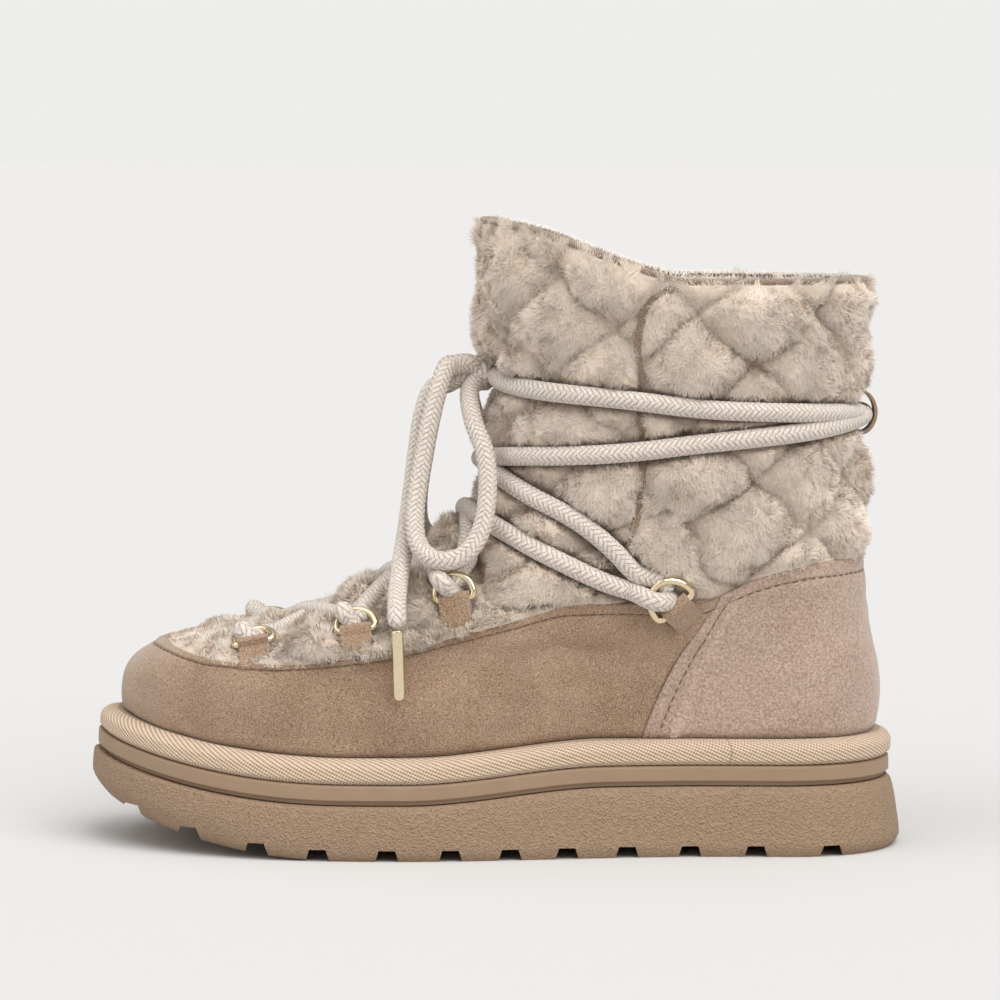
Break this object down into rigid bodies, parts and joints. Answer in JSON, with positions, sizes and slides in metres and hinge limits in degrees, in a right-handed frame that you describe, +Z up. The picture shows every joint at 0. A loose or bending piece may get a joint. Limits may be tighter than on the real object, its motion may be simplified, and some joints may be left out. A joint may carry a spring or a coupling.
{
  "type": "lace-up ankle boot",
  "caption": "Left ankle boot with a quilted plush upper, suede rand and heel counter, cord lace through rings tied in a bow, padded platform and lugged sole.",
  "frame": {"origin": "on the floor under the middle of the boot's length and width, the hanging ends of the lace left out", "axes": "+X from heel to toe, +Y to the outer side of this left boot, +Z up"},
  "size_m": [0.2824, 0.1098, 0.2172],
  "materials": {
    "short_pile_plush": "short pile faux shearling, quilted",
    "tan_suede": "napped suede",
    "woven_tape": "ribbed woven tape",
    "midsole_foam": "smooth moulded foam",
    "outsole_rubber": "fine textured moulded rubber",
    "braided_cord": "round braided cord",
    "pale_gold_plate": "polished pale gold plate",
    "insole_felt": "plush felt"
  },
  "bodies": {
    "root": {"aglet_lateral": "pale_gold_plate", "aglet_medial": "pale_gold_plate", "back_keeper": "tan_suede", "bow_loop_lateral": "braided_cord", "bow_loop_medial": "braided_cord", "collar_binding": "tan_suede", "heel_counter": "tan_suede", "insole": "insole_felt", "lace_ankle": "braided_cord", "lace_end_lateral": "braided_cord", "lace_end_medial": "braided_cord", "lace_knot": "braided_cord", "lace_vamp": "braided_cord", "midsole": "midsole_foam", "outsole": "outsole_rubber", "platform_wrap": "woven_tape", "quarter_binding_lateral": "tan_suede", "quarter_binding_medial": "tan_suede", "ring_lateral_1": "pale_gold_plate", "ring_lateral_2": "pale_gold_plate", "ring_lateral_3": "pale_gold_plate", "ring_lateral_ankle": "pale_gold_plate", "ring_medial_1": "pale_gold_plate", "ring_medial_2": "pale_gold_plate", "ring_medial_3": "pale_gold_plate", "ring_medial_ankle": "pale_gold_plate", "tab_lateral_1": "tan_suede", "tab_lateral_2": "tan_suede", "tab_lateral_3": "tan_suede", "tab_lateral_ankle": "tan_suede", "tab_medial_1": "tan_suede", "tab_medial_2": "tan_suede", "tab_medial_3": "tan_suede", "tab_medial_ankle": "tan_suede", "upper": "short_pile_plush", "vamp_rand": "tan_suede"}
  },
  "joints": []
}
